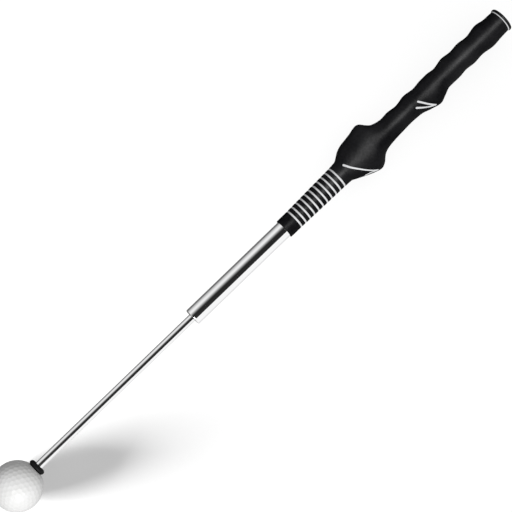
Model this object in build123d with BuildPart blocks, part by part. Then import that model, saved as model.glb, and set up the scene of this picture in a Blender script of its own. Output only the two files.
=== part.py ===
from build123d import *
import os

os.makedirs("parts", exist_ok=True)

# A telescopic golf swing trainer, drawn out to its full length and lying on its side.
# X runs along the stick from the ball (-X) to the butt of the grip (+X).
# Z is up from the floor the stick lies on. All sizes in mm.

# driving sizes
total_length = 580.4
ball_d = 42.67
tube_d = 15.24
tube_wall = 0.7
rod_d = 7.0
travel = 173.6
gap = 0.2

ball_r = ball_d / 2
axis_z = ball_r
ball_x = ball_r - total_length / 2
butt_x = total_length / 2
tube_r = tube_d / 2
tube_in = tube_r - tube_wall
rod_r = rod_d / 2

# places along the stick
seat_x = ball_x + 19.9
bumper_t = 4.4
tube_mouth = seat_x + bumper_t + travel + gap
tube_length = 358.4
tube_end = tube_mouth + tube_length
grip_start = ball_x + 303.3
cap_t = 2.5
cap_face = butt_x - cap_t
line_t = 0.8
grip_end = cap_face - line_t

# parts inside the tube
fit = 0.08
lip_t = 1.0
lip_r = 6.0
bush_length = 12.0
stop_t = 1.5
piston_length = 18.0
neck_r = 2.5
screw_r = 1.5
magnet_r = 4.0
magnet_t = 5.0
stop_x = tube_mouth + lip_t + bush_length + gap
piston_x = stop_x + stop_t
piston_back = piston_x + piston_length
neck_end = piston_back + gap
washer_t = 1.0
head_x = neck_end + washer_t
head_t = 2.4
magnet_x = head_x + head_t + travel + gap

# ball
cover_t = 1.8
insert_r = 5.5
stub_r = 3.0
bumper_r = 7.5

# grip and its tape
tape_t = 0.25
grip_bore = tube_r + tape_t
ring_pitch = 4.93
ring_count = 11
ring_first = ball_x + 315.5
ring_width = 1.6
groove_depth = 0.5
paint_depth = 0.25
mark_depth = 0.35
hand_mark_width = 1.75
flange_mark_width = 1.6

# Grip cross-sections: distance from the ball centre, then the reach to +Y, -Y, up and down.
# Each section is four quarter ellipses that meet on those four reaches.
mouth_sections = [
    (303.3, 8.8, 8.8, 8.8, 8.8),
    (312.0, 8.8, 8.8, 8.8, 8.8),
]
taper_sections = [
    (316.0, 8.9, 8.85, 8.9, 8.9),
    (341.0, 9.7, 9.25, 9.45, 9.55),
    (366.0, 10.5, 9.65, 10.0, 10.2),
]
flange_sections = [
    (372.0, 11.0, 9.9, 10.3, 11.2),
    (376.0, 13.2, 11.6, 10.9, 13.6),
    (380.0, 15.7, 13.5, 11.5, 16.2),
    (386.0, 17.7, 16.3, 12.2, 19.2),
    (392.0, 18.5, 18.7, 12.6, 21.3),
    (398.0, 19.4, 20.2, 12.8, 22.5),
    (403.0, 20.5, 18.2, 12.5, 21.8),
    (406.0, 20.8, 15.6, 12.0, 19.6),
    (409.0, 19.6, 13.4, 11.5, 16.6),
    (412.0, 16.0, 12.2, 11.0, 13.9),
    (416.0, 12.4, 11.3, 10.5, 12.0),
]
finger_sections = [
    (426.0, 10.1, 10.4, 10.0, 10.2),
    (433.0, 10.5, 10.1, 9.9, 11.3),
    (442.0, 9.5, 9.8, 9.8, 10.0),
    (453.0, 11.0, 10.4, 10.0, 11.9),
    (463.0, 9.8, 13.3, 10.4, 10.2),
    (472.0, 10.7, 15.3, 10.8, 11.9),
    (479.0, 10.8, 13.0, 10.6, 11.9),
    (487.0, 9.9, 10.3, 10.1, 10.2),
    (498.0, 11.6, 10.4, 10.0, 12.3),
    (507.0, 10.6, 9.6, 9.9, 10.6),
    (516.0, 11.3, 10.5, 10.1, 12.0),
    (525.5, 10.2, 9.9, 10.0, 10.3),
    (538.0, 12.0, 11.4, 10.6, 12.4),
    (547.0, 10.5, 10.65, 10.4, 10.9),
    (552.0, 10.4, 10.4, 10.3, 10.6),
    (grip_end - ball_x, 10.2, 10.2, 10.2, 10.2),
]
grip_sections = mouth_sections + taper_sections + flange_sections + finger_sections


def grip_solid(sections, inset):
    """A smooth solid through the sections, their reaches all shortened by the inset."""
    with BuildPart() as form:
        for x, left, right, top, under in sections:
            with BuildSketch(Plane.YZ.offset(ball_x + x)):
                with BuildLine():
                    EllipticalCenterArc((0, axis_z), left - inset, top - inset, 0, arc_size=90)
                    EllipticalCenterArc((0, axis_z), right - inset, top - inset, 90, arc_size=90)
                    EllipticalCenterArc((0, axis_z), right - inset, under - inset, 180, arc_size=90)
                    EllipticalCenterArc((0, axis_z), left - inset, under - inset, 270, arc_size=90)
                make_face()
        loft()
    return form.part


# Everything above the floor, so that the flange rests on a flat land.
with BuildPart() as above_floor:
    with Locations((grip_end - 120, 0, 25)):
        Box(300, 60, 50)

grip_form = grip_solid(grip_sections, 0)
under_marks = grip_solid(grip_sections, mark_depth)
groove_floor = grip_solid(mouth_sections + taper_sections, groove_depth)
paint_form = grip_solid(mouth_sections + taper_sections, paint_depth)

# ---------------------------------------------------------------- white lines on the grip

# eleven white rings, each at the bottom of its own shallow groove
with BuildPart() as grip_ring_lines:
    for i in range(ring_count):
        with BuildSketch(Plane.YZ.offset(ring_first + i * ring_pitch - ring_width / 2)):
            with Locations((0, axis_z)):
                Circle(14)
        extrude(amount=ring_width)
    add(paint_form, mode=Mode.INTERSECT)
    add(groove_floor, mode=Mode.SUBTRACT)
grip_ring_lines.part.label = "grip_ring_lines"
export_step(grip_ring_lines.part, "parts/grip_ring_lines.step")

# the grooves themselves, as one cutter
with BuildPart() as groove_cutter:
    for i in range(ring_count):
        with BuildSketch(Plane.YZ.offset(ring_first + i * ring_pitch - ring_width / 2)):
            with Locations((0, axis_z)):
                Circle(14)
        extrude(amount=ring_width)
    add(groove_floor, mode=Mode.SUBTRACT)

# Two white V marks that show where the thumbs and forefingers lie. Each leg is a slightly
# bent stroke; the flange's second leg runs on its flank, so it is cut in from the side.
with BuildPart() as grip_guide_marks:
    with BuildSketch(Plane.XY.offset(axis_z)):
        with BuildLine():
            ThreePointArc((ball_x + 456.0, -0.3), (ball_x + 461.3, -7.6), (ball_x + 467.3, -13.6))
            ThreePointArc((ball_x + 467.3, -13.6), (ball_x + 459.2, -9.2), (ball_x + 451.5, -3.4))
        trace(line_width=hand_mark_width)
    with BuildSketch(Plane.XY.offset(axis_z)):
        with BuildLine():
            ThreePointArc((ball_x + 374.2, 4.6), (ball_x + 382.4, -8.0), (ball_x + 394.2, -18.6))
        trace(line_width=flange_mark_width)
    extrude(amount=16)
    with BuildSketch(Plane.XZ.offset(10)):
        with BuildLine():
            Line((ball_x + 382.5, axis_z + 3.0), (ball_x + 394.8, axis_z + 3.6))
        trace(line_width=flange_mark_width)
    extrude(amount=14)
    add(grip_form, mode=Mode.INTERSECT)
    add(under_marks, mode=Mode.SUBTRACT)
grip_guide_marks.part.label = "grip_guide_marks"
export_step(grip_guide_marks.part, "parts/grip_guide_marks.step")

# ---------------------------------------------------------------- grip

# moulded rubber sleeve, formed to the hands, open at both ends
with BuildPart() as grip_sleeve:
    add(grip_form)
    add(above_floor.part, mode=Mode.INTERSECT)
    with BuildSketch(Plane.YZ.offset(grip_start - 1)):
        with Locations((0, axis_z)):
            Circle(grip_bore)
    extrude(amount=grip_end - grip_start + 2, mode=Mode.SUBTRACT)
    add(groove_cutter.part, mode=Mode.SUBTRACT)
    add(grip_guide_marks.part, mode=Mode.SUBTRACT)
grip_sleeve.part.label = "grip_sleeve"
export_step(grip_sleeve.part, "parts/grip_sleeve.step")

# white ring held between the sleeve and the cap
with BuildPart() as butt_ring_line:
    with BuildSketch(Plane.YZ.offset(grip_end)):
        with Locations((0, axis_z)):
            Circle(10.6)
            Circle(grip_bore, mode=Mode.SUBTRACT)
    extrude(amount=line_t)
butt_ring_line.part.label = "butt_ring_line"
export_step(butt_ring_line.part, "parts/butt_ring_line.step")

# rubber cap with a plug that goes into the tube and a vent hole for the air the piston moves
with BuildPart() as grip_butt_cap:
    with BuildSketch(Plane.YZ.offset(cap_face)):
        with Locations((0, axis_z)):
            Circle(11.1)
    extrude(amount=cap_t)
    fillet(grip_butt_cap.edges().group_by(Axis.X)[-1], 1.2)
    fillet(grip_butt_cap.edges().group_by(Axis.X)[0], 0.5)
    with BuildSketch(Plane.YZ.offset(cap_face - 7)):
        with Locations((0, axis_z)):
            Circle(tube_in)
    extrude(amount=7)
    with BuildSketch(Plane.YZ.offset(cap_face - 8)):
        with Locations((0, axis_z)):
            Circle(1.5)
    extrude(amount=cap_t + 10, mode=Mode.SUBTRACT)
grip_butt_cap.part.label = "grip_butt_cap"
export_step(grip_butt_cap.part, "parts/grip_butt_cap.step")

# double-sided tape between the tube and the rubber
with BuildPart() as grip_tape:
    with BuildSketch(Plane.YZ.offset(grip_start + 1)):
        with Locations((0, axis_z)):
            Circle(grip_bore)
            Circle(tube_r, mode=Mode.SUBTRACT)
    extrude(amount=grip_end - grip_start - 1)
grip_tape.part.label = "grip_tape"
export_step(grip_tape.part, "parts/grip_tape.step")

# ---------------------------------------------------------------- tube and what is fixed in it

# chromed steel tube that runs through the whole grip, its mouth rolled in over the bush
with BuildPart() as outer_tube:
    with BuildSketch(Plane.YZ.offset(tube_mouth)):
        with Locations((0, axis_z)):
            Circle(tube_r)
            Circle(lip_r, mode=Mode.SUBTRACT)
    extrude(amount=lip_t)
    fillet(outer_tube.edges().group_by(Axis.X)[0].sort_by(SortBy.LENGTH)[-1], 0.9)
    with BuildSketch(Plane.YZ.offset(tube_mouth + lip_t)):
        with Locations((0, axis_z)):
            Circle(tube_r)
            Circle(tube_in, mode=Mode.SUBTRACT)
    extrude(amount=tube_length - lip_t)
outer_tube.part.label = "outer_tube"
export_step(outer_tube.part, "parts/outer_tube.step")

# nylon bush pressed into the mouth, in which the rod runs
with BuildPart() as guide_bush:
    with BuildSketch(Plane.YZ.offset(tube_mouth + lip_t)):
        with Locations((0, axis_z)):
            Circle(tube_in)
            Circle(rod_r + fit, mode=Mode.SUBTRACT)
    extrude(amount=bush_length)
guide_bush.part.label = "guide_bush"
export_step(guide_bush.part, "parts/guide_bush.step")

# nylon plug glued in the tube, with a pocket for the magnet
with BuildPart() as magnet_carrier:
    with BuildSketch(Plane.YZ.offset(magnet_x + 0.6)):
        with Locations((0, axis_z)):
            Circle(tube_in)
    extrude(amount=16)
    with BuildSketch(Plane.YZ.offset(magnet_x + 0.6)):
        with Locations((0, axis_z)):
            Circle(magnet_r)
    extrude(amount=magnet_t - 0.6, mode=Mode.SUBTRACT)
    with BuildSketch(Plane.YZ.offset(magnet_x)):
        with Locations((0, axis_z + 5.4)):
            Circle(0.7)
    extrude(amount=20, mode=Mode.SUBTRACT)
magnet_carrier.part.label = "magnet_carrier"
export_step(magnet_carrier.part, "parts/magnet_carrier.step")

# disc magnet that catches the screw head when the stick is pushed shut
with BuildPart() as catch_magnet:
    with BuildSketch(Plane.YZ.offset(magnet_x)):
        with Locations((0, axis_z)):
            Circle(magnet_r)
    extrude(amount=magnet_t)
    chamfer(catch_magnet.edges().group_by(Axis.X)[0], 0.3)
catch_magnet.part.label = "catch_magnet"
export_step(catch_magnet.part, "parts/catch_magnet.step")

# ---------------------------------------------------------------- piston, which slides in the tube

# nylon piston with a ring groove, bored for the rod's shoulder and neck
with BuildPart() as piston:
    with BuildSketch(Plane.YZ.offset(piston_x)):
        with Locations((0, axis_z)):
            Circle(tube_in - fit)
            Circle(neck_r + fit, mode=Mode.SUBTRACT)
    extrude(amount=piston_length)
    with BuildSketch(Plane.YZ.offset(piston_x)):
        with Locations((0, axis_z)):
            Circle(rod_r + fit)
    extrude(amount=4 + gap, mode=Mode.SUBTRACT)
    with BuildSketch(Plane.YZ.offset(piston_x + 7)):
        with Locations((0, axis_z)):
            Circle(tube_in)
            Circle(5.05, mode=Mode.SUBTRACT)
    extrude(amount=2.4, mode=Mode.SUBTRACT)
piston.part.label = "piston"
export_step(piston.part, "parts/piston.step")

# rubber ring that keeps the piston from rattling
with BuildPart() as piston_ring:
    with Locations(Location((piston_x + 8.2, 0, axis_z), (0, 90, 0))):
        Torus(5.98, 0.88)
piston_ring.part.label = "piston_ring"
export_step(piston_ring.part, "parts/piston_ring.step")

# rubber washer in front of the piston, which meets the bush at full length
with BuildPart() as stop_washer:
    with BuildSketch(Plane.YZ.offset(stop_x)):
        with Locations((0, axis_z)):
            Circle(6.5)
            Circle(rod_r + 0.3, mode=Mode.SUBTRACT)
    extrude(amount=stop_t)
stop_washer.part.label = "stop_washer"
export_step(stop_washer.part, "parts/stop_washer.step")

# ---------------------------------------------------------------- rod and what turns with it

# polished steel rod: a stub in the ball, the plain shaft, and a neck through the piston
with BuildPart() as slide_rod:
    with BuildSketch(Plane.YZ.offset(ball_x + 1)):
        with Locations((0, axis_z)):
            Circle(stub_r)
    extrude(amount=seat_x - ball_x - 1)
    with BuildSketch(Plane.YZ.offset(seat_x)):
        with Locations((0, axis_z)):
            Circle(rod_r)
    extrude(amount=piston_x + 4 - seat_x)
    with BuildSketch(Plane.YZ.offset(piston_x + 4)):
        with Locations((0, axis_z)):
            Circle(neck_r)
    extrude(amount=neck_end - piston_x - 4)
    with BuildSketch(Plane.YZ.offset(neck_end - 11)):
        with Locations((0, axis_z)):
            Circle(screw_r)
    extrude(amount=11, mode=Mode.SUBTRACT)
slide_rod.part.label = "slide_rod"
export_step(slide_rod.part, "parts/slide_rod.step")

# steel washer clamped on the rod's end, behind the piston
with BuildPart() as piston_washer:
    with BuildSketch(Plane.YZ.offset(neck_end)):
        with Locations((0, axis_z)):
            Circle(5.2)
            Circle(screw_r, mode=Mode.SUBTRACT)
    extrude(amount=washer_t)
piston_washer.part.label = "piston_washer"
export_step(piston_washer.part, "parts/piston_washer.step")

# hexagon socket screw in the rod's end
with BuildPart() as piston_screw:
    with BuildSketch(Plane.YZ.offset(neck_end - 10)):
        with Locations((0, axis_z)):
            Circle(screw_r)
    extrude(amount=10 + washer_t)
    with BuildSketch(Plane.YZ.offset(head_x)):
        with Locations((0, axis_z)):
            Circle(2.9)
    extrude(amount=head_t)
    with BuildSketch(Plane.YZ.offset(head_x + 1)):
        with Locations((0, axis_z)):
            RegularPolygon(1.25, 6)
    extrude(amount=head_t, mode=Mode.SUBTRACT)
piston_screw.part.label = "piston_screw"
export_step(piston_screw.part, "parts/piston_screw.step")

# black rubber washer against the ball, which takes the knock when the stick shuts
with BuildPart() as bumper_washer:
    with BuildSketch(Plane.YZ.offset(seat_x)):
        with Locations((0, axis_z)):
            Circle(bumper_r)
    extrude(amount=bumper_t)
    fillet(bumper_washer.edges(), 2.0)
    with BuildSketch(Plane.YZ.offset(seat_x)):
        with Locations((0, axis_z)):
            Circle(rod_r)
    extrude(amount=bumper_t, mode=Mode.SUBTRACT)
bumper_washer.part.label = "bumper_washer"
export_step(bumper_washer.part, "parts/bumper_washer.step")

# ---------------------------------------------------------------- ball

# white cover of a regulation golf ball, spot-faced where the washer sits
with BuildPart() as ball_cover:
    with Locations((ball_x, 0, axis_z)):
        Sphere(ball_r)
        Sphere(ball_r - cover_t, mode=Mode.SUBTRACT)
    with BuildSketch(Plane.YZ.offset(ball_x + 5)):
        with Locations((0, axis_z)):
            Circle(insert_r)
    extrude(amount=30, mode=Mode.SUBTRACT)
    with BuildSketch(Plane.YZ.offset(seat_x)):
        with Locations((0, axis_z)):
            Circle(12)
    extrude(amount=10, mode=Mode.SUBTRACT)
ball_cover.part.label = "ball_cover"
export_step(ball_cover.part, "parts/ball_cover.step")

# rubber core, bored for the insert
with BuildPart() as ball_core:
    with Locations((ball_x, 0, axis_z)):
        Sphere(ball_r - cover_t)
    with BuildSketch(Plane.YZ.offset(ball_x - 2)):
        with Locations((0, axis_z)):
            Circle(insert_r)
    extrude(amount=30, mode=Mode.SUBTRACT)
ball_core.part.label = "ball_core"
export_step(ball_core.part, "parts/ball_core.step")

# brass insert that takes the rod's stub and spreads its pull in the core
with BuildPart() as ball_insert:
    with BuildSketch(Plane.YZ.offset(ball_x - 2)):
        with Locations((0, axis_z)):
            Circle(insert_r)
    extrude(amount=seat_x - ball_x + 2)
    with BuildSketch(Plane.YZ.offset(ball_x + 1)):
        with Locations((0, axis_z)):
            Circle(stub_r)
    extrude(amount=30, mode=Mode.SUBTRACT)
ball_insert.part.label = "ball_insert"
export_step(ball_insert.part, "parts/ball_insert.step")
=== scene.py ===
import math

import bpy
import numpy as np
from mathutils import Matrix, Vector


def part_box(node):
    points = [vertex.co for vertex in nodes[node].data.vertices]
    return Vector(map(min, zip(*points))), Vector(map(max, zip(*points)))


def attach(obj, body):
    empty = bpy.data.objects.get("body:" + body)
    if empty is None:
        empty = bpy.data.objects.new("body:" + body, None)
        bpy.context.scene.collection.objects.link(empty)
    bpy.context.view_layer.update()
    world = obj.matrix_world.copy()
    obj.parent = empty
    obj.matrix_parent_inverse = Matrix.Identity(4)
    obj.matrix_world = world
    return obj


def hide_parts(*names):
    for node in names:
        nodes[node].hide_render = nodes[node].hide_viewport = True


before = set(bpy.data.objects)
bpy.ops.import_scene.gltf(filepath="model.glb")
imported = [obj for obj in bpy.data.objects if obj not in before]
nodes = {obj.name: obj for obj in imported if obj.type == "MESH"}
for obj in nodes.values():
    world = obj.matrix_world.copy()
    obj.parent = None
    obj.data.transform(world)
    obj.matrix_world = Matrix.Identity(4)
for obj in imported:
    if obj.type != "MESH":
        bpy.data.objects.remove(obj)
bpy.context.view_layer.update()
mm = 0.001

# ---------------------------------------------------------------- ball core and insert
# Inside the ball is a core of green rubber, moulded round and then bored. A brass insert is
# glued in the bore and holds the rod's stub. Neither shows from outside.

cover_low, cover_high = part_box("ball_cover")
ball_radius = (cover_high.z - cover_low.z) / 2
ball_x = cover_low.x + ball_radius
line_z = cover_low.z + ball_radius


class Wire:
    """A socket inside one finish. Sums written with wires add the Math nodes that work them out."""

    def __init__(self, tree, socket):
        self.tree = tree
        self.socket = socket

    def node(self, kind, settings, sockets, out=0):
        """Add any node: its settings first, then a value or a wire for each socket."""
        made = self.tree.nodes.new("ShaderNode" + kind)
        stops = settings.pop("stops", None)
        for name, value in settings.items():
            setattr(made, name, value)
        if stops:
            elements = made.color_ramp.elements
            while len(elements) < len(stops):
                elements.new(0.5)
            for element, (place, colour) in zip(elements, stops):
                element.position = place
                element.color = (*colour, 1)
        for name, value in sockets.items():
            if isinstance(value, Wire):
                self.tree.links.new(value.socket, made.inputs[name])
            elif value is not None:
                made.inputs[name].default_value = value
        return Wire(self.tree, made.outputs[out])

    def math(self, operation, first, second):
        return self.node("Math", {"operation": operation}, {0: first, 1: second})

    def __add__(self, other):
        return self.math("ADD", self, other)

    def __radd__(self, other):
        return self.math("ADD", other, self)

    def __sub__(self, other):
        return self.math("SUBTRACT", self, other)

    def __rsub__(self, other):
        return self.math("SUBTRACT", other, self)

    def __mul__(self, other):
        return self.math("MULTIPLY", self, other)

    def __rmul__(self, other):
        return self.math("MULTIPLY", other, self)

    def __truediv__(self, other):
        return self.math("DIVIDE", self, other)

    def noise(self, size, detail=2.0, stretch=(1, 1, 1), rough=0.5):
        """Cloudy noise from 0 to 1, whose clouds are about size metres across before the stretch."""
        scale = [1 / (size * s) for s in stretch]
        place = self.node("Mapping", {}, {"Vector": self, "Scale": scale})
        sockets = {"Vector": place, "Scale": 1.0, "Detail": detail, "Roughness": rough}
        return self.node("TexNoise", {}, sockets)

    def blend(self, stops):
        """A colour that runs through the stops as this value goes from 0 to 1."""
        return self.node("ValToRGB", {"stops": stops}, {"Fac": self})

    def between(self, low, high):
        """This value's 0 to 1 carried to low to high."""
        return self * (high - low) + low


def start_finish(name):
    """A new material and the wire of the place on the piece, in metres."""
    material = bpy.data.materials.new(name)
    material.use_nodes = True
    tree = material.node_tree
    tree.nodes.clear()
    return material, Wire(tree, tree.nodes.new("ShaderNodeTexCoord").outputs["Object"])


def end_finish(material, place, bumps=(), **sockets):
    """Close a finish: its bumps, each a height from 0 to 1 and a depth in metres, then the surface."""
    normal = None
    for height, depth in bumps:
        settings = {"Height": height, "Distance": depth, "Strength": 1.0, "Normal": normal}
        normal = place.node("Bump", {}, settings)
    named = {name.replace("_", " "): value for name, value in sockets.items()}
    surface = place.node("BsdfPrincipled", {}, {**named, "Normal": normal})
    output = place.tree.nodes.new("ShaderNodeOutputMaterial")
    place.tree.links.new(surface.socket, output.inputs["Surface"])
    return material


def wear(node, material):
    """Give a CAD node its finish."""
    nodes[node].data.materials.clear()
    nodes[node].data.materials.append(material)


core_finish, place = start_finish("core_rubber_finish")
crumb = place.noise(0.6 * mm, 3)
end_finish(
    core_finish, place, [(crumb, 0.05 * mm)],
    Base_Color=crumb.blend([(0.3, (0.12, 0.30, 0.20)), (0.7, (0.24, 0.48, 0.34))]),
    Roughness=crumb.between(0.6, 0.85),
)
wear("ball_core", core_finish)

brass_finish, place = start_finish("insert_brass_finish")
lathe_marks = place.noise(0.12 * mm, 2, (1, 40, 40))
end_finish(
    brass_finish, place, [(lathe_marks, 0.01 * mm)],
    Base_Color=lathe_marks.blend([(0.3, (0.58, 0.42, 0.16)), (0.7, (0.76, 0.60, 0.28))]),
    Metallic=1.0,
    Roughness=lathe_marks.between(0.22, 0.4),
)
wear("ball_insert", brass_finish)

# ---------------------------------------------------------------- ball cover
# A hard white cover is moulded round the core in two halves, with round dimples laid out on a
# twenty-sided pattern. It is spot-faced flat where the washer sits and drilled for the insert.

cover_thickness = 1.8 * mm
seat_x = cover_high.x
insert_radius = 5.5 * mm
dimple_radius = 1.95 * mm
dimple_depth = 0.16 * mm
rows_per_side = 6
ball_columns = 400
outer_rows = 204
inner_rows = 10


def twenty_sided():
    """Corners of an icosahedron on the unit sphere, and its faces as rows of three corners."""
    g = (1 + math.sqrt(5)) / 2
    corners = np.array([
        (-1, g, 0), (1, g, 0), (-1, -g, 0), (1, -g, 0), (0, -1, g), (0, 1, g),
        (0, -1, -g), (0, 1, -g), (g, 0, -1), (g, 0, 1), (-g, 0, -1), (-g, 0, 1),
    ]) / math.sqrt(1 + g * g)
    reach = corners @ corners.T
    a, b, c = np.meshgrid(*[np.arange(12)] * 3, indexing="ij")
    joined = (reach[a, b] > 0.4) & (reach[b, c] > 0.4) & (reach[a, c] > 0.4)
    once = (a < b) & (b < c)
    return corners, np.stack([a, b, c], -1)[joined & once]


def dimple_centres(count):
    """Points of a triangular lattice with count steps along each side of all twenty faces,
    pushed out to the unit sphere. Points on shared sides and corners are kept once."""
    corners, faces = twenty_sided()
    i, j = np.meshgrid(np.arange(count + 1), np.arange(count + 1), indexing="ij")
    i, j = i[i + j <= count], j[i + j <= count]
    shares = np.stack([i, j, count - i - j], -1) / count
    points = (shares @ corners[faces]).reshape(-1, 3)
    points /= np.linalg.norm(points, axis=1)[:, None]
    return np.unique(points.round(6), axis=0)


def skin(name, grids, material, closed=False):
    """A mesh over grids of points whose rows are rings. Neighbouring rings are joined by four-sided
    faces. A ring whose points all meet is a pole, joined to the next ring by triangles. A closed
    grid also joins its last ring to its first. Faces are turned to point outwards."""
    vertices, faces = [], []
    for points in grids:
        columns = points.shape[1]
        pole = np.ptp(points, axis=1).max(axis=1) < 1e-9
        size = np.where(pole, 1, columns)
        index = (np.cumsum(size) - size)[:, None] + np.where(pole[:, None], 0, np.arange(columns))
        corner = points[~pole[:, None] | (np.arange(columns) == 0)]
        if closed:
            index = np.vstack([index, index[:1]])
        beside = np.roll(index, -1, axis=1)
        four = np.stack([index[:-1], beside[:-1], beside[1:], index[1:]], -1).reshape(-1, 4)
        a, b, c, d = corner[four.T]
        if (np.cross(a, b) * c).sum() + (np.cross(a, c) * d).sum() < 0:
            four = four[:, ::-1]
        same = four == np.roll(four, -1, axis=1)
        four = four + sum(len(v) for v in vertices)
        vertices.append(corner)
        faces += four[~same.any(axis=1)].tolist()
        for side, kept in enumerate(([0, 2, 3], [0, 1, 3], [0, 1, 2], [0, 1, 2])):
            faces += four[same[:, side]][:, kept].tolist()
    mesh = bpy.data.meshes.new(name)
    mesh.from_pydata(np.vstack(vertices).tolist(), [], faces)
    mesh.shade_smooth()
    mesh.set_sharp_from_angle(angle=math.radians(38))
    mesh.materials.append(material)
    made = bpy.data.objects.new(name, mesh)
    bpy.context.scene.collection.objects.link(made)
    return made


def ball_rings():
    """Rings round the stick's line from the ball's far pole to the spot-face, in along the face and
    the drilled hole, and back over the inside of the cover to its own far pole. Each outer point is
    the ball's radius out from the centre, less the depth of the dimple it lies in."""
    edge = math.acos((seat_x - ball_x) / ball_radius)
    hole = math.asin(insert_radius / (ball_radius - cover_thickness))
    turn = np.linspace(0, 2 * math.pi, ball_columns, endpoint=False)
    outer = np.linspace(math.pi, edge, outer_rows)
    drilled = [math.atan2(insert_radius, seat_x - ball_x)]
    inner = np.linspace(hole, math.pi, inner_rows)
    angle = np.concatenate([outer, drilled, inner])
    radius = np.concatenate([outer * 0 + ball_radius, [math.hypot(insert_radius, seat_x - ball_x)],
                             inner * 0 + ball_radius - cover_thickness])
    a, t = np.meshgrid(angle, turn, indexing="ij")
    way = np.stack([np.cos(a), np.sin(a) * np.cos(t), np.sin(a) * np.sin(t)], -1)
    way[np.isclose(angle, math.pi)] = (-1, 0, 0)
    nearest = np.max(way[:outer_rows].reshape(-1, 3).astype(np.float32) @ dimples.T, axis=1)
    off = np.arccos(np.clip(nearest, -1, 1)).reshape(outer_rows, ball_columns) * ball_radius / dimple_radius
    rim = np.clip((1.06 - off) / 0.16, 0, 1)
    bowl = dimple_depth * np.clip(1 - off**2 * 0.86, 0, 1) * rim * rim * (3 - 2 * rim)
    near_edge = np.clip((outer - edge) / 0.05, 0, 1)[:, None]
    out = np.repeat(radius[:, None], ball_columns, axis=1)
    out[:outer_rows] -= bowl * near_edge
    return way * out[..., None] + (ball_x, 0, line_z)


cover_finish, place = start_finish("ball_cover_finish")
cloud = place.noise(9 * mm, 2)
speck = place.noise(0.35 * mm, 3)
end_finish(
    cover_finish, place, [(speck, 0.006 * mm)],
    Base_Color=(cloud * 0.7 + speck * 0.3).blend([(0.3, (0.80, 0.80, 0.79)),
                                                  (0.7, (0.88, 0.88, 0.88))]),
    Roughness=(speck * 0.5 + cloud * 0.5).between(0.40, 0.60),
    Coat_Weight=0.12,
    Coat_Roughness=0.35,
)
dimples = dimple_centres(rows_per_side).astype(np.float32)
ball_cover = skin("ball_cover_dimpled", [ball_rings()], cover_finish)
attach(ball_cover, "rod")
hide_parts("ball_cover")

# ---------------------------------------------------------------- bumper washer
# A black rubber washer with a full round rim is threaded on the rod and sits against the ball. It
# takes the knock when the stick is pushed shut.

washer_low, washer_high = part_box("bumper_washer")
washer_radius = (washer_high.z - washer_low.z) / 2
rod_radius = 3.5 * mm


def bend(x, r, radius, start, stop, steps=7):
    """Points (x, r) of a round corner: its centre, its radius, and the angles where it starts and
    stops, in degrees from +X towards outwards."""
    angle = np.radians(np.linspace(start, stop, steps))
    return np.stack([x + radius * np.cos(angle), r + radius * np.sin(angle)], -1)


def turned(name, outline, material, closed=True, columns=128):
    """A piece turned on the stick's line: an outline of points (x, distance from the line) is carried
    once round the line."""
    outline = np.vstack(outline)
    turn = np.linspace(0, 2 * math.pi, columns, endpoint=False)
    x = np.repeat(outline[:, :1], columns, axis=1)
    y = outline[:, 1:] * np.cos(turn)
    z = outline[:, 1:] * np.sin(turn) + line_z
    return skin(name, [np.stack([x, y, z], -1)], material, closed)


washer_finish, place = start_finish("bumper_rubber_finish")
grain = place.noise(0.25 * mm, 3)
dust = place.noise(3 * mm, 4)
end_finish(
    washer_finish, place, [(grain, 0.02 * mm)],
    Base_Color=(dust * 0.6 + grain * 0.4).blend([(0.35, (0.004, 0.004, 0.0045)),
                                                 (0.8, (0.014, 0.014, 0.0145))]),
    Roughness=dust.between(0.42, 0.7),
    Specular_IOR_Level=0.0,
    Coat_Weight=dust.between(0.15, 0.3),
    Coat_Roughness=0.5,
)
round_rim = 2.15 * mm
washer = turned("bumper_washer_round", [
    bend(washer_low.x + round_rim, washer_radius - round_rim, round_rim, 180, 90, 9),
    bend(washer_high.x - round_rim, washer_radius - round_rim, round_rim, 90, 0, 9),
    bend(washer_high.x - 0.4 * mm, rod_radius + 0.45 * mm, 0.4 * mm, 0, -90, 4),
    bend(washer_low.x + 0.4 * mm, rod_radius + 0.45 * mm, 0.4 * mm, 270, 180, 4),
], washer_finish)
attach(washer, "rod")
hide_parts("bumper_washer")

# ---------------------------------------------------------------- slide rod
# A steel rod, ground, hard chromed and polished. A stub screws into the ball's insert, the plain
# shaft slides in the tube, and a thinner neck goes through the piston and is tapped for its screw.

rod_low, rod_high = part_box("slide_rod")
piston_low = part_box("piston")[0]
stub_radius = 3.0 * mm
neck_radius = 2.5 * mm
tap_radius = 1.5 * mm
shoulder_x = piston_low.x + 4 * mm


def chrome(name, tint, streak):
    """Polished chrome plate: hardly rough, with faint polishing lines along the stick and soft haze."""
    material, place = start_finish(name)
    lines = place.noise(0.09 * mm, 2, (streak, 1, 1))
    haze = place.noise(6 * mm, 3, (4, 1, 1))
    pits = place.math("GREATER_THAN", place.noise(0.5 * mm, 1), 0.79)
    return end_finish(
        material, place, [(lines, 0.0006 * mm)],
        Base_Color=(haze * 0.7 + lines * 0.3).blend([(0.3, tint), (0.75, tuple(c * 1.06 for c in tint))]),
        Metallic=1.0,
        Roughness=(haze * 0.6 + lines * 0.4).between(0.03, 0.13) + pits * 0.1,
    )


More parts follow.
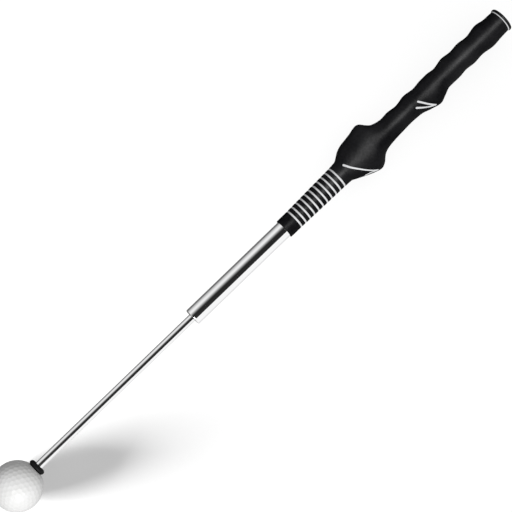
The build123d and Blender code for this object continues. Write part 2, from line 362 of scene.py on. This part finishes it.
rod_finish = chrome("rod_chrome_finish", (0.89, 0.89, 0.895), 60)
rod = turned("slide_rod_polished", [
    [(rod_high.x - 11 * mm, 0), (rod_high.x - 11 * mm, tap_radius), (rod_high.x, tap_radius)],
    bend(rod_high.x - 0.3 * mm, neck_radius - 0.3 * mm, 0.3 * mm, 0, 90, 4),
    [(shoulder_x, neck_radius)],
    bend(shoulder_x - 0.3 * mm, rod_radius - 0.3 * mm, 0.3 * mm, 0, 90, 4),
    [(seat_x + (shoulder_x - seat_x) * k / 8, rod_radius) for k in range(7, 0, -1)],
    [(seat_x, rod_radius), (seat_x, stub_radius)],
    bend(rod_low.x + 0.5 * mm, stub_radius - 0.5 * mm, 0.5 * mm, 90, 180, 4),
    [(rod_low.x, 0)],
], rod_finish, closed=False)
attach(rod, "rod")
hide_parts("slide_rod")

# ---------------------------------------------------------------- piston and its screw
# On the rod's inner end runs a turned nylon piston with a rubber ring in its groove, a rubber stop
# washer before it, and a steel washer and socket screw behind. All of it is hidden in the tube.


def turned_steel(name, tone):
    """Turned steel: fine rings round the line and a few darker clouds."""
    material, place = start_finish(name)
    rings = place.noise(0.08 * mm, 2, (1, 60, 60))
    cloud = place.noise(4 * mm, 2)
    return end_finish(
        material, place, [(rings, 0.008 * mm)],
        Base_Color=(rings * 0.5 + cloud * 0.5).blend([(0.3, tuple(tone * c for c in (0.8, 0.8, 0.82))),
                                                     (0.7, (tone, tone, tone * 1.01))]),
        Metallic=1.0,
        Roughness=(rings * 0.5 + cloud * 0.5).between(0.25, 0.5),
    )


def nylon(name, dark, light):
    """Turned nylon: waxy, with faint tool rings."""
    material, place = start_finish(name)
    rings = place.noise(0.15 * mm, 2, (1, 40, 40))
    cloud = place.noise(5 * mm, 3)
    return end_finish(
        material, place, [(rings, 0.015 * mm)],
        Base_Color=(rings * 0.4 + cloud * 0.6).blend([(0.3, dark), (0.7, light)]),
        Roughness=cloud.between(0.35, 0.6),
    )


inner_rubber, place = start_finish("inner_rubber_finish")
grain = place.noise(0.2 * mm, 3)
end_finish(
    inner_rubber, place, [(grain, 0.015 * mm)],
    Base_Color=grain.blend([(0.3, (0.02, 0.02, 0.02)), (0.7, (0.05, 0.05, 0.05))]),
    Roughness=grain.between(0.5, 0.75),
)
white_nylon = nylon("white_nylon_finish", (0.70, 0.69, 0.62), (0.84, 0.83, 0.78))
washer_steel = turned_steel("plain_steel_finish", 0.56)
wear("piston", white_nylon)
wear("piston_ring", inner_rubber)
wear("stop_washer", inner_rubber)
wear("piston_washer", washer_steel)
wear("piston_screw", washer_steel)

# ---------------------------------------------------------------- guide bush, magnet and carrier
# A black nylon bush is pressed into the tube's mouth and guides the rod. Further in, a nylon plug
# is glued across the tube and holds a nickel-plated disc magnet, which keeps the stick shut.

wear("guide_bush", nylon("black_nylon_finish", (0.02, 0.02, 0.021), (0.05, 0.05, 0.052)))
wear("magnet_carrier", white_nylon)
wear("catch_magnet", turned_steel("magnet_nickel_finish", 0.68))

# ---------------------------------------------------------------- outer tube
# A thin steel tube, chromed and polished bright. Its mouth is rolled in over the bush, and the
# rest runs on inside the grip as far as the cap.

tube_low, tube_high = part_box("outer_tube")
tube_radius = (tube_high.z - tube_low.z) / 2
tube_wall = 0.7 * mm
lip_radius = 6.0 * mm
lip_roll = 0.9 * mm

tube_finish = chrome("tube_chrome_finish", (0.90, 0.90, 0.905), 80)
tube = turned("outer_tube_rolled", [
    [(tube_low.x, lip_radius)],
    bend(tube_low.x + lip_roll, tube_radius - lip_roll, lip_roll, 180, 90, 9),
    [(tube_low.x + (tube_high.x - tube_low.x) * k / 12, tube_radius) for k in range(1, 13)],
    [(tube_high.x, tube_radius - tube_wall), (tube_low.x + 1 * mm, tube_radius - tube_wall)],
    [(tube_low.x + 1 * mm, lip_radius)],
], tube_finish)
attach(tube, "handle")
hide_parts("outer_tube")

# ---------------------------------------------------------------- grip tape
# Double-sided fabric tape is wound on the tube, wetted with solvent, and the rubber grip is slid
# over it. It is hidden between the two.

tape_finish, place = start_finish("grip_tape_finish")
weave = place.noise(0.3 * mm, 2, (3, 1, 1)) * 0.5 + place.noise(0.3 * mm, 2, (1, 3, 3)) * 0.5
end_finish(
    tape_finish, place, [(weave, 0.05 * mm)],
    Base_Color=weave.blend([(0.35, (0.55, 0.49, 0.35)), (0.65, (0.76, 0.70, 0.55))]),
    Roughness=weave.between(0.7, 0.9),
)
wear("grip_tape", tape_finish)

# ---------------------------------------------------------------- grip sleeve
# One piece of soft black rubber, moulded to two hands: a plain collar, a taper with eleven ring
# grooves, a slanting flange, and a long zone with finger waves and a swelling for the upper hand.

sleeve_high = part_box("grip_sleeve")[1]
grip_bore = 7.87 * mm
ring_x = ball_x + (315.5 + 4.93 * np.arange(11)) * mm
mouth_x = ball_x + 303.3 * mm
edge_radius = 0.55 * mm
groove_reach = 1.4 * mm
sleeve_columns = 160
hand_rows = 335

# distance from the ball's centre, then the reach to +Y, -Y, up and down, all in mm
grip_reach = np.array([
    (303.3, 8.8, 8.8, 8.8, 8.8),
    (312.0, 8.8, 8.8, 8.8, 8.8),
    (316.0, 8.9, 8.85, 8.9, 8.9),
    (341.0, 9.7, 9.25, 9.45, 9.55),
    (366.0, 10.5, 9.65, 10.0, 10.2),
    (372.0, 11.0, 9.9, 10.3, 11.2),
    (376.0, 13.2, 11.6, 10.9, 13.6),
    (380.0, 15.7, 13.5, 11.5, 16.2),
    (386.0, 17.7, 16.3, 12.2, 19.2),
    (392.0, 18.5, 18.7, 12.6, 21.3),
    (398.0, 19.4, 20.2, 12.8, 22.5),
    (403.0, 20.5, 18.2, 12.5, 21.8),
    (406.0, 20.8, 15.6, 12.0, 19.6),
    (409.0, 19.6, 13.4, 11.5, 16.6),
    (412.0, 16.0, 12.2, 11.0, 13.9),
    (416.0, 12.4, 11.3, 10.5, 12.0),
    (426.0, 10.1, 10.4, 10.0, 10.2),
    (433.0, 10.5, 10.1, 9.9, 11.3),
    (442.0, 9.5, 9.8, 9.8, 10.0),
    (453.0, 11.0, 10.4, 10.0, 11.9),
    (463.0, 9.8, 13.3, 10.4, 10.2),
    (472.0, 10.7, 15.3, 10.8, 11.9),
    (479.0, 10.8, 13.0, 10.6, 11.9),
    (487.0, 9.9, 10.3, 10.1, 10.2),
    (498.0, 11.6, 10.4, 10.0, 12.3),
    (507.0, 10.6, 9.6, 9.9, 10.6),
    (516.0, 11.3, 10.5, 10.1, 12.0),
    (525.5, 10.2, 9.9, 10.0, 10.3),
    (538.0, 12.0, 11.4, 10.6, 12.4),
    (547.0, 10.5, 10.65, 10.4, 10.9),
    (552.0, 10.4, 10.4, 10.3, 10.6),
    (555.77, 10.2, 10.2, 10.2, 10.2),
])


def eased(x, knots, values):
    """A smooth line through the knots: each stretch is a cubic whose end slopes are the gentler mean
    of the slopes on its two sides, and level at every crest and trough, so it never overshoots."""
    step = np.diff(knots)
    slope = np.diff(values) / step
    same_way = slope[:-1] * slope[1:] > 0
    weight = 2 * step[1:] + step[:-1], step[1:] + 2 * step[:-1]
    safe = np.where(same_way, slope[:-1], 1), np.where(same_way, slope[1:], 1)
    middle = np.where(same_way, sum(weight) / (weight[0] / safe[0] + weight[1] / safe[1]), 0)
    lean = np.concatenate([slope[:1], middle, slope[-1:]])
    k = np.clip(np.searchsorted(knots, x, side="right") - 1, 0, len(step) - 1)
    t = (x - knots[k]) / step[k]
    rise = values[k] * (1 + 2 * t) * (1 - t) ** 2 + values[k + 1] * t * t * (3 - 2 * t)
    return rise + step[k] * (lean[k] * t * (1 - t) ** 2 - lean[k + 1] * t * t * (1 - t))


fine_x = np.linspace(303.3, 555.77, 2525)
hat = np.hanning(21) / np.hanning(21).sum()
reach_lines = []
for column in range(1, 5):
    line = eased(fine_x, grip_reach[:, 0], grip_reach[:, column])
    padded = np.concatenate([np.full(10, line[0]), line, np.full(10, line[-1])])
    reach_lines.append(np.convolve(padded, hat, "valid"))


def grip_point(x, turn, inset=0.0):
    """The grip's surface at a place x along the stick and an angle turn from +Y over the top: four
    quarter ellipses that meet on the reaches at x, each reach shortened by the inset. Below the floor
    the surface is cut off flat."""
    left, right, top, under = (np.interp((x - ball_x) / mm, fine_x, line) * mm for line in reach_lines)
    side = np.where(np.cos(turn) > 0, left, right) - inset
    tall = np.where(np.sin(turn) > 0, top, under) - inset
    z = np.maximum(line_z + tall * np.sin(turn), 0)
    return np.stack(np.broadcast_arrays(x, side * np.cos(turn), z), -1)


def sleeve_rings():
    """Rings of the sleeve: the rounded mouth, the outside, set in where a ring groove runs, the rounded
    back, and home through the bore, which is a plain circle."""
    edge = edge_radius
    corner = np.radians(np.linspace(0, 90, 7))
    groove = np.array([-1.15, -0.98, -0.86, -0.80, -0.74, -0.62, 0, 0.62, 0.74, 0.80, 0.86, 0.98, 1.15]) * mm
    depth = np.array([0, 0.03, 0.14, 0.30, 0.44, 0.5, 0.5, 0.5, 0.44, 0.30, 0.14, 0.03, 0]) * mm
    collar = np.linspace(mouth_x + edge, ring_x[0] - groove_reach, 12)[1:]
    hands = np.linspace(ring_x[-1] + groove_reach, sleeve_high.x - edge, hand_rows)
    x = np.concatenate([mouth_x + edge * (1 - np.cos(corner)), collar, (ring_x[:, None] + groove).ravel(),
                        hands, sleeve_high.x - edge * (1 - np.sin(corner[1:]))])
    inset = np.concatenate([edge * (1 - np.sin(corner)), collar * 0, np.tile(depth, 11),
                            hands * 0, edge * (1 - np.cos(corner[1:]))])
    turn = np.linspace(0, 2 * math.pi, sleeve_columns, endpoint=False)
    outside = grip_point(x[:, None], turn, inset[:, None])
    circle = np.stack([turn * 0, grip_bore * np.cos(turn), grip_bore * np.sin(turn) + line_z], -1)
    bore = circle + np.array([sleeve_high.x, mouth_x])[:, None, None] * (1, 0, 0)
    return np.concatenate([outside, bore])


rubber_finish, place = start_finish("grip_rubber_finish")
pores = place.noise(0.22 * mm, 3)
mottle = place.noise(1.6 * mm, 3)
handled = place.noise(18 * mm, 2, (1.6, 1, 1))
end_finish(
    rubber_finish, place, [(mottle, 0.03 * mm), (pores, 0.03 * mm)],
    Base_Color=(mottle * 0.5 + handled * 0.5).blend([(0.3, (0.0006, 0.0006, 0.0008)),
                                                     (0.7, (0.0015, 0.0015, 0.0019))]),
    Roughness=0.9,
    Specular_IOR_Level=0.0,
    Coat_Weight=(handled * 0.7 + mottle * 0.3).between(-0.12, 0.42),
    Coat_Roughness=0.42,
)
sleeve = skin("grip_sleeve_moulded", [sleeve_rings()], rubber_finish, closed=True)
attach(sleeve, "handle")
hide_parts("grip_sleeve")

# ---------------------------------------------------------------- ring lines
# Eleven bands of white paint lie in the bottoms of the ring grooves. Each is wiped level a quarter of
# a millimetre below the rubber, so that hands don't rub it off.


def white_line(name):
    """White filling paint on rubber: a little chalky, with grey handling marks and fine pores."""
    material, place = start_finish(name)
    chalk = place.noise(0.5 * mm, 3)
    handled = place.noise(5 * mm, 3)
    return end_finish(
        material, place, [(chalk, 0.012 * mm)],
        Base_Color=(chalk * 0.4 + handled * 0.6).blend([(0.25, (0.68, 0.69, 0.70)),
                                                        (0.6, (0.86, 0.87, 0.88))]),
        Roughness=chalk.between(0.4, 0.65),
    )


line_finish = white_line("white_line_finish")
band_x = np.array([-0.78, -0.70, -0.40, 0, 0.40, 0.70, 0.78, 0.78, -0.78]) * mm
band_inset = np.array([0.34, 0.27, 0.25, 0.24, 0.25, 0.27, 0.34, 0.49, 0.49]) * mm
band_turn = np.linspace(0, 2 * math.pi, 128, endpoint=False)
ring_lines = skin(
    "grip_ring_lines_filled",
    [grip_point((x + band_x)[:, None], band_turn, band_inset[:, None]) for x in ring_x],
    line_finish, closed=True,
)
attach(ring_lines, "handle")
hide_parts("grip_ring_lines")

# ---------------------------------------------------------------- guide marks
# Two V marks of the same white paint are printed on the rubber, one on the flange and one on the
# upper hand's swelling. They show where the crooks of the thumbs go.

mark_height = 0.06 * mm

# each leg's width in mm, then its middle line: distance from the ball's centre in mm, and the angle
# from +Y over the top
mark_legs = [
    (1.75, [(456.0, 91.5), (461.5, 127.5), (467.3, 159)]),
    (1.75, [(451.5, 109.5), (457.9, 136), (467.3, 159)]),
    (1.6, [(374.2, 67), (377.9, 99), (384.2, 130.5), (389.0, 149), (394.4, 167)]),
    (1.6, [(382.5, 168), (388.5, 161), (394.4, 167)]),
]


def mark_rings(width, leg):
    """One leg as a flat bead along the rubber. Its middle line is an eased line through the leg's points.
    Each ring is a low dome above the rubber and a flat base just under it, laid square across the
    middle line, and the two ends are half round."""
    half_width = width / 2 * mm
    leg = np.array(leg, float)
    along = np.linspace(0, 1, 61)
    knots = np.linspace(0, 1, len(leg))
    x = ball_x + eased(along, knots, leg[:, 0]) * mm
    turn = np.radians(eased(along, knots, leg[:, 1]))
    middle = grip_point(x, turn)
    step_x = (grip_point(x + 1e-5, turn) - grip_point(x - 1e-5, turn)) / 2e-5
    step_turn = (grip_point(x, turn + 1e-4) - grip_point(x, turn - 1e-4)) / 2e-4
    out = np.cross(step_turn, step_x)
    out *= np.sign((out[:, 2] * (middle[:, 2] - line_z) + out[:, 1] * middle[:, 1]))[:, None]
    out /= np.linalg.norm(out, axis=1)[:, None]
    way = np.gradient(middle, axis=0)
    run = np.concatenate([[0], np.cumsum(np.linalg.norm(np.diff(middle, axis=0), axis=1))])
    across = np.cross(out, way)
    across /= np.linalg.norm(across, axis=1)[:, None]
    end = np.clip(1 - np.minimum(run, run[-1] - run) / half_width, 0, 1)
    half = half_width * np.sqrt(1 - end**2)
    share_x = (across * step_x).sum(1) / (step_x**2).sum(1)
    share_turn = (across * step_turn).sum(1) / (step_turn**2).sum(1)
    v = np.array([-1, -0.94, -0.8, -0.5, 0, 0.5, 0.8, 0.94, 1, 1, 0, -1])
    h = np.array([0, 0.55, 0.9, 1, 1, 1, 0.9, 0.55, 0, -2, -2, -2]) * mark_height
    wide = half[:, None] * v
    base = grip_point(x[:, None] + share_x[:, None] * wide, turn[:, None] + share_turn[:, None] * wide)
    rise = np.where(half > 0, 1, 0)[:, None] * h
    return base + out[:, None] * rise[..., None]


guide_marks = skin(
    "grip_guide_marks_printed", [mark_rings(width, leg) for width, leg in mark_legs], line_finish)
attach(guide_marks, "handle")
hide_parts("grip_guide_marks")

# ---------------------------------------------------------------- butt ring and cap
# A thin white plastic ring is trapped between the sleeve and a black rubber cap. The cap's plug is
# pushed into the tube's end, and a small hole lets out the air the piston moves.

ring_low, ring_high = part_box("butt_ring_line")
cap_low, cap_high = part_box("grip_butt_cap")
ring_radius = (ring_high.z - ring_low.z) / 2
cap_radius = (cap_high.z - cap_low.z) / 2
vent_radius = 1.5 * mm
plug_radius = tube_radius - tube_wall

butt_ring = turned("butt_ring_line_turned", [
    [(ring_low.x, grip_bore)],
    bend(ring_low.x + 0.2 * mm, ring_radius - 0.2 * mm, 0.2 * mm, 180, 90, 4),
    bend(ring_high.x - 0.2 * mm, ring_radius - 0.2 * mm, 0.2 * mm, 90, 0, 4),
    [(ring_high.x, grip_bore)],
], line_finish)
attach(butt_ring, "handle")
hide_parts("butt_ring_line")

dish_radius = 7.6 * mm
cap = turned("grip_butt_cap_moulded", [
    [(cap_low.x, vent_radius), (cap_low.x, plug_radius - 0.5 * mm), (cap_low.x + 0.5 * mm, plug_radius)],
    [(ring_high.x, plug_radius)],
    bend(ring_high.x + 0.5 * mm, cap_radius - 0.5 * mm, 0.5 * mm, 180, 90, 5),
    bend(cap_high.x - 1.2 * mm, cap_radius - 1.2 * mm, 1.2 * mm, 90, 0, 8),
    [(cap_high.x, dish_radius + 0.5 * mm)],
    bend(cap_high.x, dish_radius, 0.35 * mm, 90, 270, 7)[1:-1],
    [(cap_high.x, dish_radius - 0.5 * mm)],
    [(cap_high.x, vent_radius + 0.4 * mm), (cap_high.x - 0.4 * mm, vent_radius)],
], rubber_finish)
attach(cap, "handle")
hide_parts("grip_butt_cap")

# ---------------------------------------------------------------- floor and room
# The stick lies on a plain pale floor that glows a little, so that its shadow stays pale. The floor
# isn't seen in the chrome: the room goes on below it, as on a glass table.

floor_finish, place = start_finish("floor_finish")
fleck = place.noise(0.4, 3)
end_finish(
    floor_finish, place,
    Base_Color=fleck.blend([(0.3, (0.49, 0.49, 0.49)), (0.7, (0.51, 0.51, 0.51))]),
    Roughness=0.9, Specular_IOR_Level=0.0, Emission_Color=(1, 1, 1, 1), Emission_Strength=0.35,
)
floor_mesh = bpy.data.meshes.new("floor")
floor_mesh.from_pydata([(-6, -6, 0), (6, -6, 0), (6, 6, 0), (-6, 6, 0)], [], [(0, 1, 2, 3)])
floor_mesh.materials.append(floor_finish)
floor = bpy.data.objects.new("floor", floor_mesh)
bpy.context.scene.collection.objects.link(floor)
floor.visible_glossy = False
floor.visible_diffuse = False

# what polished metal sees, by the angle round the stick from straight up, in degrees towards +Y
room_glow = [
    (-180, 0.80), (-130, 0.88), (-105, 1.1), (-60, 1.1), (-46, 1.1), (-44, 0.022), (8, 0.022), (20, 0.12),
    (35, 0.52), (50, 0.95), (62, 1.0), (75, 0.90), (92, 0.66), (108, 0.42), (114, 0.18), (165, 0.18),
]
diffuse_glow = 0.39
gloss_glow = 1.15
world = bpy.data.worlds.new("room")
bpy.context.scene.world = world
world.use_nodes = True
world.node_tree.nodes.clear()
way = Wire(world.node_tree, world.node_tree.nodes.new("ShaderNodeTexCoord").outputs["Generated"])
sideways = way.node("SeparateXYZ", {}, {0: way}, out="Y")
upward = way.node("SeparateXYZ", {}, {0: way}, out="Z")
round_angle = way.math("ARCTAN2", sideways, upward)
pattern = (round_angle / (2 * math.pi) + 0.5).blend([(0.5 + a / 360, (v, v, v)) for a, v in room_glow])
by_camera = way.node("LightPath", {}, {}, out="Is Camera Ray")
by_diffuse = way.node("LightPath", {}, {}, out="Is Diffuse Ray")
by_gloss = way.node("LightPath", {}, {}, out="Is Glossy Ray")
glow = by_camera + by_diffuse * diffuse_glow + by_gloss * pattern * gloss_glow
room = way.node("Background", {}, {"Strength": glow})
way.tree.links.new(room.socket, way.tree.nodes.new("ShaderNodeOutputWorld").inputs["Surface"])

# ---------------------------------------------------------------- lights
# Three soft lights: one for the whole stick, a long strip that only the black rubber picks up, and a
# low one that lights only the floor and lays the ball's shadow.


def soft_light(name, toward, distance, width, height, watts, pieces, state):
    """A flat soft light far out in the direction toward, facing the stick, with its width level along
    X as near as can be. It shines only on these pieces, or on all but these."""
    lamp = bpy.data.lights.new(name, "AREA")
    lamp.shape = "RECTANGLE"
    lamp.size = width
    lamp.size_y = height
    lamp.energy = watts
    made = bpy.data.objects.new(name, lamp)
    bpy.context.scene.collection.objects.link(made)
    back = Vector(toward).normalized()
    up = back.cross(Vector((1, 0, 0))).normalized()
    turn = Matrix((up.cross(back), up, back)).transposed().to_4x4()
    made.matrix_world = Matrix.Translation(back * distance) @ turn
    lit = bpy.data.collections.new(name + "_lit")
    for piece in pieces:
        lit.objects.link(piece)
    for member in lit.collection_objects:
        member.light_linking.link_state = state
    made.light_linking.receiver_collection = lit
    return made


soft_light("stick_light", (-0.45, -0.43, 0.80), 2.0, 0.8, 0.8, 30.5, [floor], "EXCLUDE")
soft_light("rubber_strip", (0.0, 0.0, 1.0), 1.2, 2.2, 0.5, 58, [sleeve, cap], "INCLUDE")
floor_light = soft_light("floor_light", (-0.86, 0.44, 0.29), 8.0, 2.6, 2.6, 2500, [floor], "INCLUDE")
shade = bpy.data.collections.new("ball_shade")
shade.objects.link(ball_cover)
floor_light.light_linking.blocker_collection = shade

# ---------------------------------------------------------------- camera
# It looks down on the stick, a little from the ball's end, with the stick from corner to corner.

camera_data = bpy.data.cameras.new("camera")
camera_data.sensor_width = 36
camera_data.lens = 140.625
camera = bpy.data.objects.new("camera", camera_data)
bpy.context.scene.collection.objects.link(camera)
tilt = math.radians(5.0)
roll = math.radians(43.94)
camera_distance = 1.652
ahead = Vector((math.sin(tilt), 0, -math.cos(tilt)))
along = Vector((math.cos(tilt), 0, math.sin(tilt)))
across = Vector((0, 1, 0))
right = along * math.cos(roll) - across * math.sin(roll)
up = along * math.sin(roll) + across * math.cos(roll)
aim = Vector((2.3 * mm, 0.1 * mm, line_z))
spot = aim - ahead * camera_distance
camera.matrix_world = Matrix.Translation(spot) @ Matrix((right, up, -ahead)).transposed().to_4x4()
bpy.context.scene.camera = camera
bpy.context.scene.view_settings.view_transform = "Standard"
